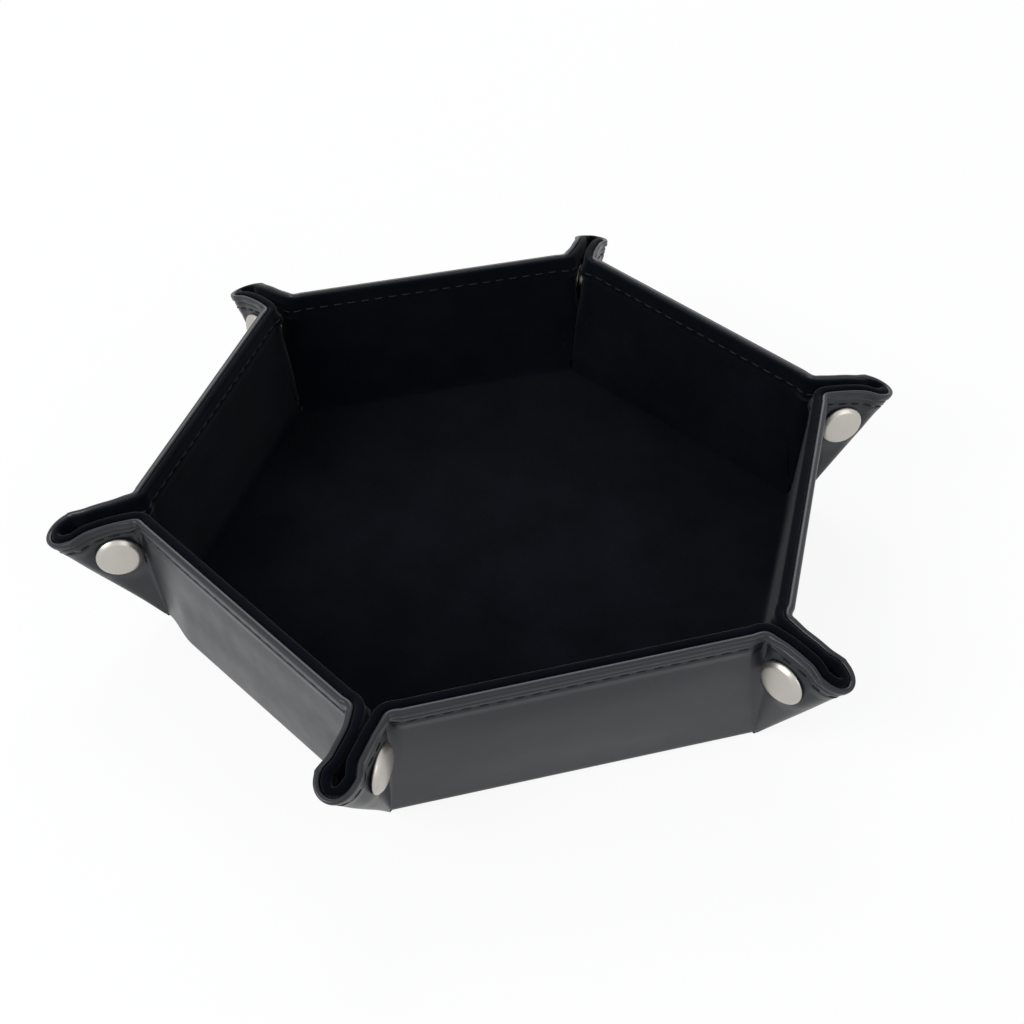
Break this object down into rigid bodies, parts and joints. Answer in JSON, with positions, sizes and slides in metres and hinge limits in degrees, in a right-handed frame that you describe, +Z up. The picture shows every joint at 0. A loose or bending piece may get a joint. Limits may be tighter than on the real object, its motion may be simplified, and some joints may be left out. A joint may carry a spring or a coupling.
{
  "type": "folding dice tray",
  "caption": "Hexagonal fold-flat dice tray: board-stiffened leather-look floor and walls, velvet lining, and corner fins held by press snaps.",
  "frame": {"origin": "centre of the underside, on the surface that the tray stands on", "axes": "+X through two opposite corners, -Y to the front wall, +Z up"},
  "size_m": [0.222, 0.1938, 0.0403],
  "materials": {
    "leather": "smooth satin",
    "velvet": "short pile",
    "board": "plain",
    "nickel": "satin nickel"
  },
  "bodies": {
    "base": {"base_cover": "leather", "base_board": "board", "base_lining": "velvet"},
    "wall_1": {"wall_cover_1": "leather", "wall_board_1": "board", "wall_lining_1": "velvet"},
    "wall_2": {"wall_cover_2": "leather", "wall_board_2": "board", "wall_lining_2": "velvet"},
    "wall_3": {"wall_cover_3": "leather", "wall_board_3": "board", "wall_lining_3": "velvet"},
    "wall_4": {"wall_cover_4": "leather", "wall_board_4": "board", "wall_lining_4": "velvet"},
    "wall_5": {"wall_cover_5": "leather", "wall_board_5": "board", "wall_lining_5": "velvet"},
    "wall_6": {"wall_cover_6": "leather", "wall_board_6": "board", "wall_lining_6": "velvet"},
    "flap_1a": {"flap_1a": "leather", "snap_socket_1": "nickel"},
    "flap_1b": {"flap_1b": "leather", "snap_stud_1": "nickel"},
    "loop_1a": {"loop_1a": "leather"},
    "loop_1b": {"loop_1b": "leather"},
    "flap_2a": {"flap_2a": "leather", "snap_socket_2": "nickel"},
    "flap_2b": {"flap_2b": "leather", "snap_stud_2": "nickel"},
    "loop_2a": {"loop_2a": "leather"},
    "loop_2b": {"loop_2b": "leather"},
    "flap_3a": {"flap_3a": "leather", "snap_socket_3": "nickel"},
    "flap_3b": {"flap_3b": "leather", "snap_stud_3": "nickel"},
    "loop_3a": {"loop_3a": "leather"},
    "loop_3b": {"loop_3b": "leather"},
    "flap_4a": {"flap_4a": "leather", "snap_socket_4": "nickel"},
    "flap_4b": {"flap_4b": "leather", "snap_stud_4": "nickel"},
    "loop_4a": {"loop_4a": "leather"},
    "loop_4b": {"loop_4b": "leather"},
    "flap_5a": {"flap_5a": "leather", "snap_socket_5": "nickel"},
    "flap_5b": {"flap_5b": "leather", "snap_stud_5": "nickel"},
    "loop_5a": {"loop_5a": "leather"},
    "loop_5b": {"loop_5b": "leather"},
    "flap_6a": {"flap_6a": "leather", "snap_socket_6": "nickel"},
    "flap_6b": {"flap_6b": "leather", "snap_stud_6": "nickel"},
    "loop_6a": {"loop_6a": "leather"},
    "loop_6b": {"loop_6b": "leather"}
  },
  "joints": [
    {"name": "fold_wall_1", "type": "hinge", "parent": "base", "child": "wall_1", "pos_m": [0, -0.07708, 0], "axis": [1, 0, 0], "range_deg": [0, 84]},
    {"name": "fold_wall_2", "type": "hinge", "parent": "base", "child": "wall_2", "pos_m": [0.06675, -0.03854, 0], "axis": [0.5, 0.866, 0], "range_deg": [0, 84]},
    {"name": "fold_wall_3", "type": "hinge", "parent": "base", "child": "wall_3", "pos_m": [0.06675, 0.03854, 0], "axis": [-0.5, 0.866, 0], "range_deg": [0, 84]},
    {"name": "fold_wall_4", "type": "hinge", "parent": "base", "child": "wall_4", "pos_m": [0, 0.07708, 0], "axis": [-1, 0, 0], "range_deg": [0, 84]},
    {"name": "fold_wall_5", "type": "hinge", "parent": "base", "child": "wall_5", "pos_m": [-0.06675, 0.03854, 0], "axis": [-0.5, -0.866, 0], "range_deg": [0, 84]},
    {"name": "fold_wall_6", "type": "hinge", "parent": "base", "child": "wall_6", "pos_m": [-0.06675, -0.03854, 0], "axis": [0.5, -0.866, 0], "range_deg": [0, 84]},
    {"name": "crease_1a", "type": "hinge", "parent": "wall_1", "child": "flap_1a", "pos_m": [0.0445, -0.07708, 0], "axis": [-0.0819, -0.1042, 0.9912], "range_deg": [0, 63.8]},
    {"name": "unbend_1a", "type": "hinge", "parent": "flap_1a", "child": "loop_1a", "pos_m": [0.0445, -0.07708, 0], "axis": [0.1691, -0.4912, 0.8545], "range_deg": [-90.92, 0]},
    {"name": "crease_1b", "type": "hinge", "parent": "wall_2", "child": "flap_1b", "pos_m": [0.0445, -0.07708, 0], "axis": [-0.1312, -0.0189, -0.9912], "range_deg": [0, 63.8]},
    {"name": "unbend_1b", "type": "hinge", "parent": "flap_1b", "child": "loop_1b", "pos_m": [0.0445, -0.07708, 0], "axis": [-0.3408, 0.392, -0.8545], "range_deg": [-90.92, 0]},
    {"name": "crease_2a", "type": "hinge", "parent": "wall_2", "child": "flap_2a", "pos_m": [0.089, 0, 0], "axis": [0.0493, -0.123, 0.9912], "range_deg": [0, 63.8]},
    {"name": "unbend_2a", "type": "hinge", "parent": "flap_2a", "child": "loop_2a", "pos_m": [0.089, 0, 0], "axis": [0.5099, -0.0992, 0.8545], "range_deg": [-90.92, 0]},
    {"name": "crease_2b", "type": "hinge", "parent": "wall_3", "child": "flap_2b", "pos_m": [0.089, 0, 0], "axis": [-0.0493, -0.123, -0.9912], "range_deg": [0, 63.8]},
    {"name": "unbend_2b", "type": "hinge", "parent": "flap_2b", "child": "loop_2b", "pos_m": [0.089, 0, 0], "axis": [-0.5099, -0.0992, -0.8545], "range_deg": [-90.92, 0]},
    {"name": "crease_3a", "type": "hinge", "parent": "wall_3", "child": "flap_3a", "pos_m": [0.0445, 0.07708, 0], "axis": [0.1312, -0.0189, 0.9912], "range_deg": [0, 63.8]},
    {"name": "unbend_3a", "type": "hinge", "parent": "flap_3a", "child": "loop_3a", "pos_m": [0.0445, 0.07708, 0], "axis": [0.3408, 0.392, 0.8545], "range_deg": [-90.92, 0]},
    {"name": "crease_3b", "type": "hinge", "parent": "wall_4", "child": "flap_3b", "pos_m": [0.0445, 0.07708, 0], "axis": [0.0819, -0.1042, -0.9912], "range_deg": [0, 63.8]},
    {"name": "unbend_3b", "type": "hinge", "parent": "flap_3b", "child": "loop_3b", "pos_m": [0.0445, 0.07708, 0], "axis": [-0.1691, -0.4912, -0.8545], "range_deg": [-90.92, 0]},
    {"name": "crease_4a", "type": "hinge", "parent": "wall_4", "child": "flap_4a", "pos_m": [-0.0445, 0.07708, 0], "axis": [0.0819, 0.1042, 0.9912], "range_deg": [0, 63.8]},
    {"name": "unbend_4a", "type": "hinge", "parent": "flap_4a", "child": "loop_4a", "pos_m": [-0.0445, 0.07708, 0], "axis": [-0.1691, 0.4912, 0.8545], "range_deg": [-90.92, 0]},
    {"name": "crease_4b", "type": "hinge", "parent": "wall_5", "child": "flap_4b", "pos_m": [-0.0445, 0.07708, 0], "axis": [0.1312, 0.0189, -0.9912], "range_deg": [0, 63.8]},
    {"name": "unbend_4b", "type": "hinge", "parent": "flap_4b", "child": "loop_4b", "pos_m": [-0.0445, 0.07708, 0], "axis": [0.3408, -0.392, -0.8545], "range_deg": [-90.92, 0]},
    {"name": "crease_5a", "type": "hinge", "parent": "wall_5", "child": "flap_5a", "pos_m": [-0.089, 0, 0], "axis": [-0.0493, 0.123, 0.9912], "range_deg": [0, 63.8]},
    {"name": "unbend_5a", "type": "hinge", "parent": "flap_5a", "child": "loop_5a", "pos_m": [-0.089, 0, 0], "axis": [-0.5099, 0.0992, 0.8545], "range_deg": [-90.92, 0]},
    {"name": "crease_5b", "type": "hinge", "parent": "wall_6", "child": "flap_5b", "pos_m": [-0.089, 0, 0], "axis": [0.0493, 0.123, -0.9912], "range_deg": [0, 63.8]},
    {"name": "unbend_5b", "type": "hinge", "parent": "flap_5b", "child": "loop_5b", "pos_m": [-0.089, 0, 0], "axis": [0.5099, 0.0992, -0.8545], "range_deg": [-90.92, 0]},
    {"name": "crease_6a", "type": "hinge", "parent": "wall_6", "child": "flap_6a", "pos_m": [-0.0445, -0.07708, 0], "axis": [-0.1312, 0.0189, 0.9912], "range_deg": [0, 63.8]},
    {"name": "unbend_6a", "type": "hinge", "parent": "flap_6a", "child": "loop_6a", "pos_m": [-0.0445, -0.07708, 0], "axis": [-0.3408, -0.392, 0.8545], "range_deg": [-90.92, 0]},
    {"name": "crease_6b", "type": "hinge", "parent": "wall_1", "child": "flap_6b", "pos_m": [-0.0445, -0.07708, 0], "axis": [-0.0819, 0.1042, -0.9912], "range_deg": [0, 63.8]},
    {"name": "unbend_6b", "type": "hinge", "parent": "flap_6b", "child": "loop_6b", "pos_m": [-0.0445, -0.07708, 0], "axis": [0.1691, 0.4912, -0.8545], "range_deg": [-90.92, 0]}
  ],
  "couplings": [
    {"joint": "fold_wall_2", "follows": "fold_wall_1", "ratio": 1},
    {"joint": "fold_wall_3", "follows": "fold_wall_1", "ratio": 1},
    {"joint": "fold_wall_4", "follows": "fold_wall_1", "ratio": 1},
    {"joint": "fold_wall_5", "follows": "fold_wall_1", "ratio": 1},
    {"joint": "fold_wall_6", "follows": "fold_wall_1", "ratio": 1},
    {"joint": "crease_1a", "follows": "fold_wall_1", "ratio": 0.75945},
    {"joint": "unbend_1a", "follows": "fold_wall_1", "ratio": -1.0822},
    {"joint": "crease_1b", "follows": "fold_wall_1", "ratio": 0.75945},
    {"joint": "unbend_1b", "follows": "fold_wall_1", "ratio": -1.0822},
    {"joint": "crease_2a", "follows": "fold_wall_1", "ratio": 0.75945},
    {"joint": "unbend_2a", "follows": "fold_wall_1", "ratio": -1.0822},
    {"joint": "crease_2b", "follows": "fold_wall_1", "ratio": 0.75945},
    {"joint": "unbend_2b", "follows": "fold_wall_1", "ratio": -1.0822},
    {"joint": "crease_3a", "follows": "fold_wall_1", "ratio": 0.75945},
    {"joint": "unbend_3a", "follows": "fold_wall_1", "ratio": -1.0822},
    {"joint": "crease_3b", "follows": "fold_wall_1", "ratio": 0.75945},
    {"joint": "unbend_3b", "follows": "fold_wall_1", "ratio": -1.0822},
    {"joint": "crease_4a", "follows": "fold_wall_1", "ratio": 0.75945},
    {"joint": "unbend_4a", "follows": "fold_wall_1", "ratio": -1.0822},
    {"joint": "crease_4b", "follows": "fold_wall_1", "ratio": 0.75945},
    {"joint": "unbend_4b", "follows": "fold_wall_1", "ratio": -1.0822},
    {"joint": "crease_5a", "follows": "fold_wall_1", "ratio": 0.75945},
    {"joint": "unbend_5a", "follows": "fold_wall_1", "ratio": -1.0822},
    {"joint": "crease_5b", "follows": "fold_wall_1", "ratio": 0.75945},
    {"joint": "unbend_5b", "follows": "fold_wall_1", "ratio": -1.0822},
    {"joint": "crease_6a", "follows": "fold_wall_1", "ratio": 0.75945},
    {"joint": "unbend_6a", "follows": "fold_wall_1", "ratio": -1.0822},
    {"joint": "crease_6b", "follows": "fold_wall_1", "ratio": 0.75945},
    {"joint": "unbend_6b", "follows": "fold_wall_1", "ratio": -1.0822}
  ]
}
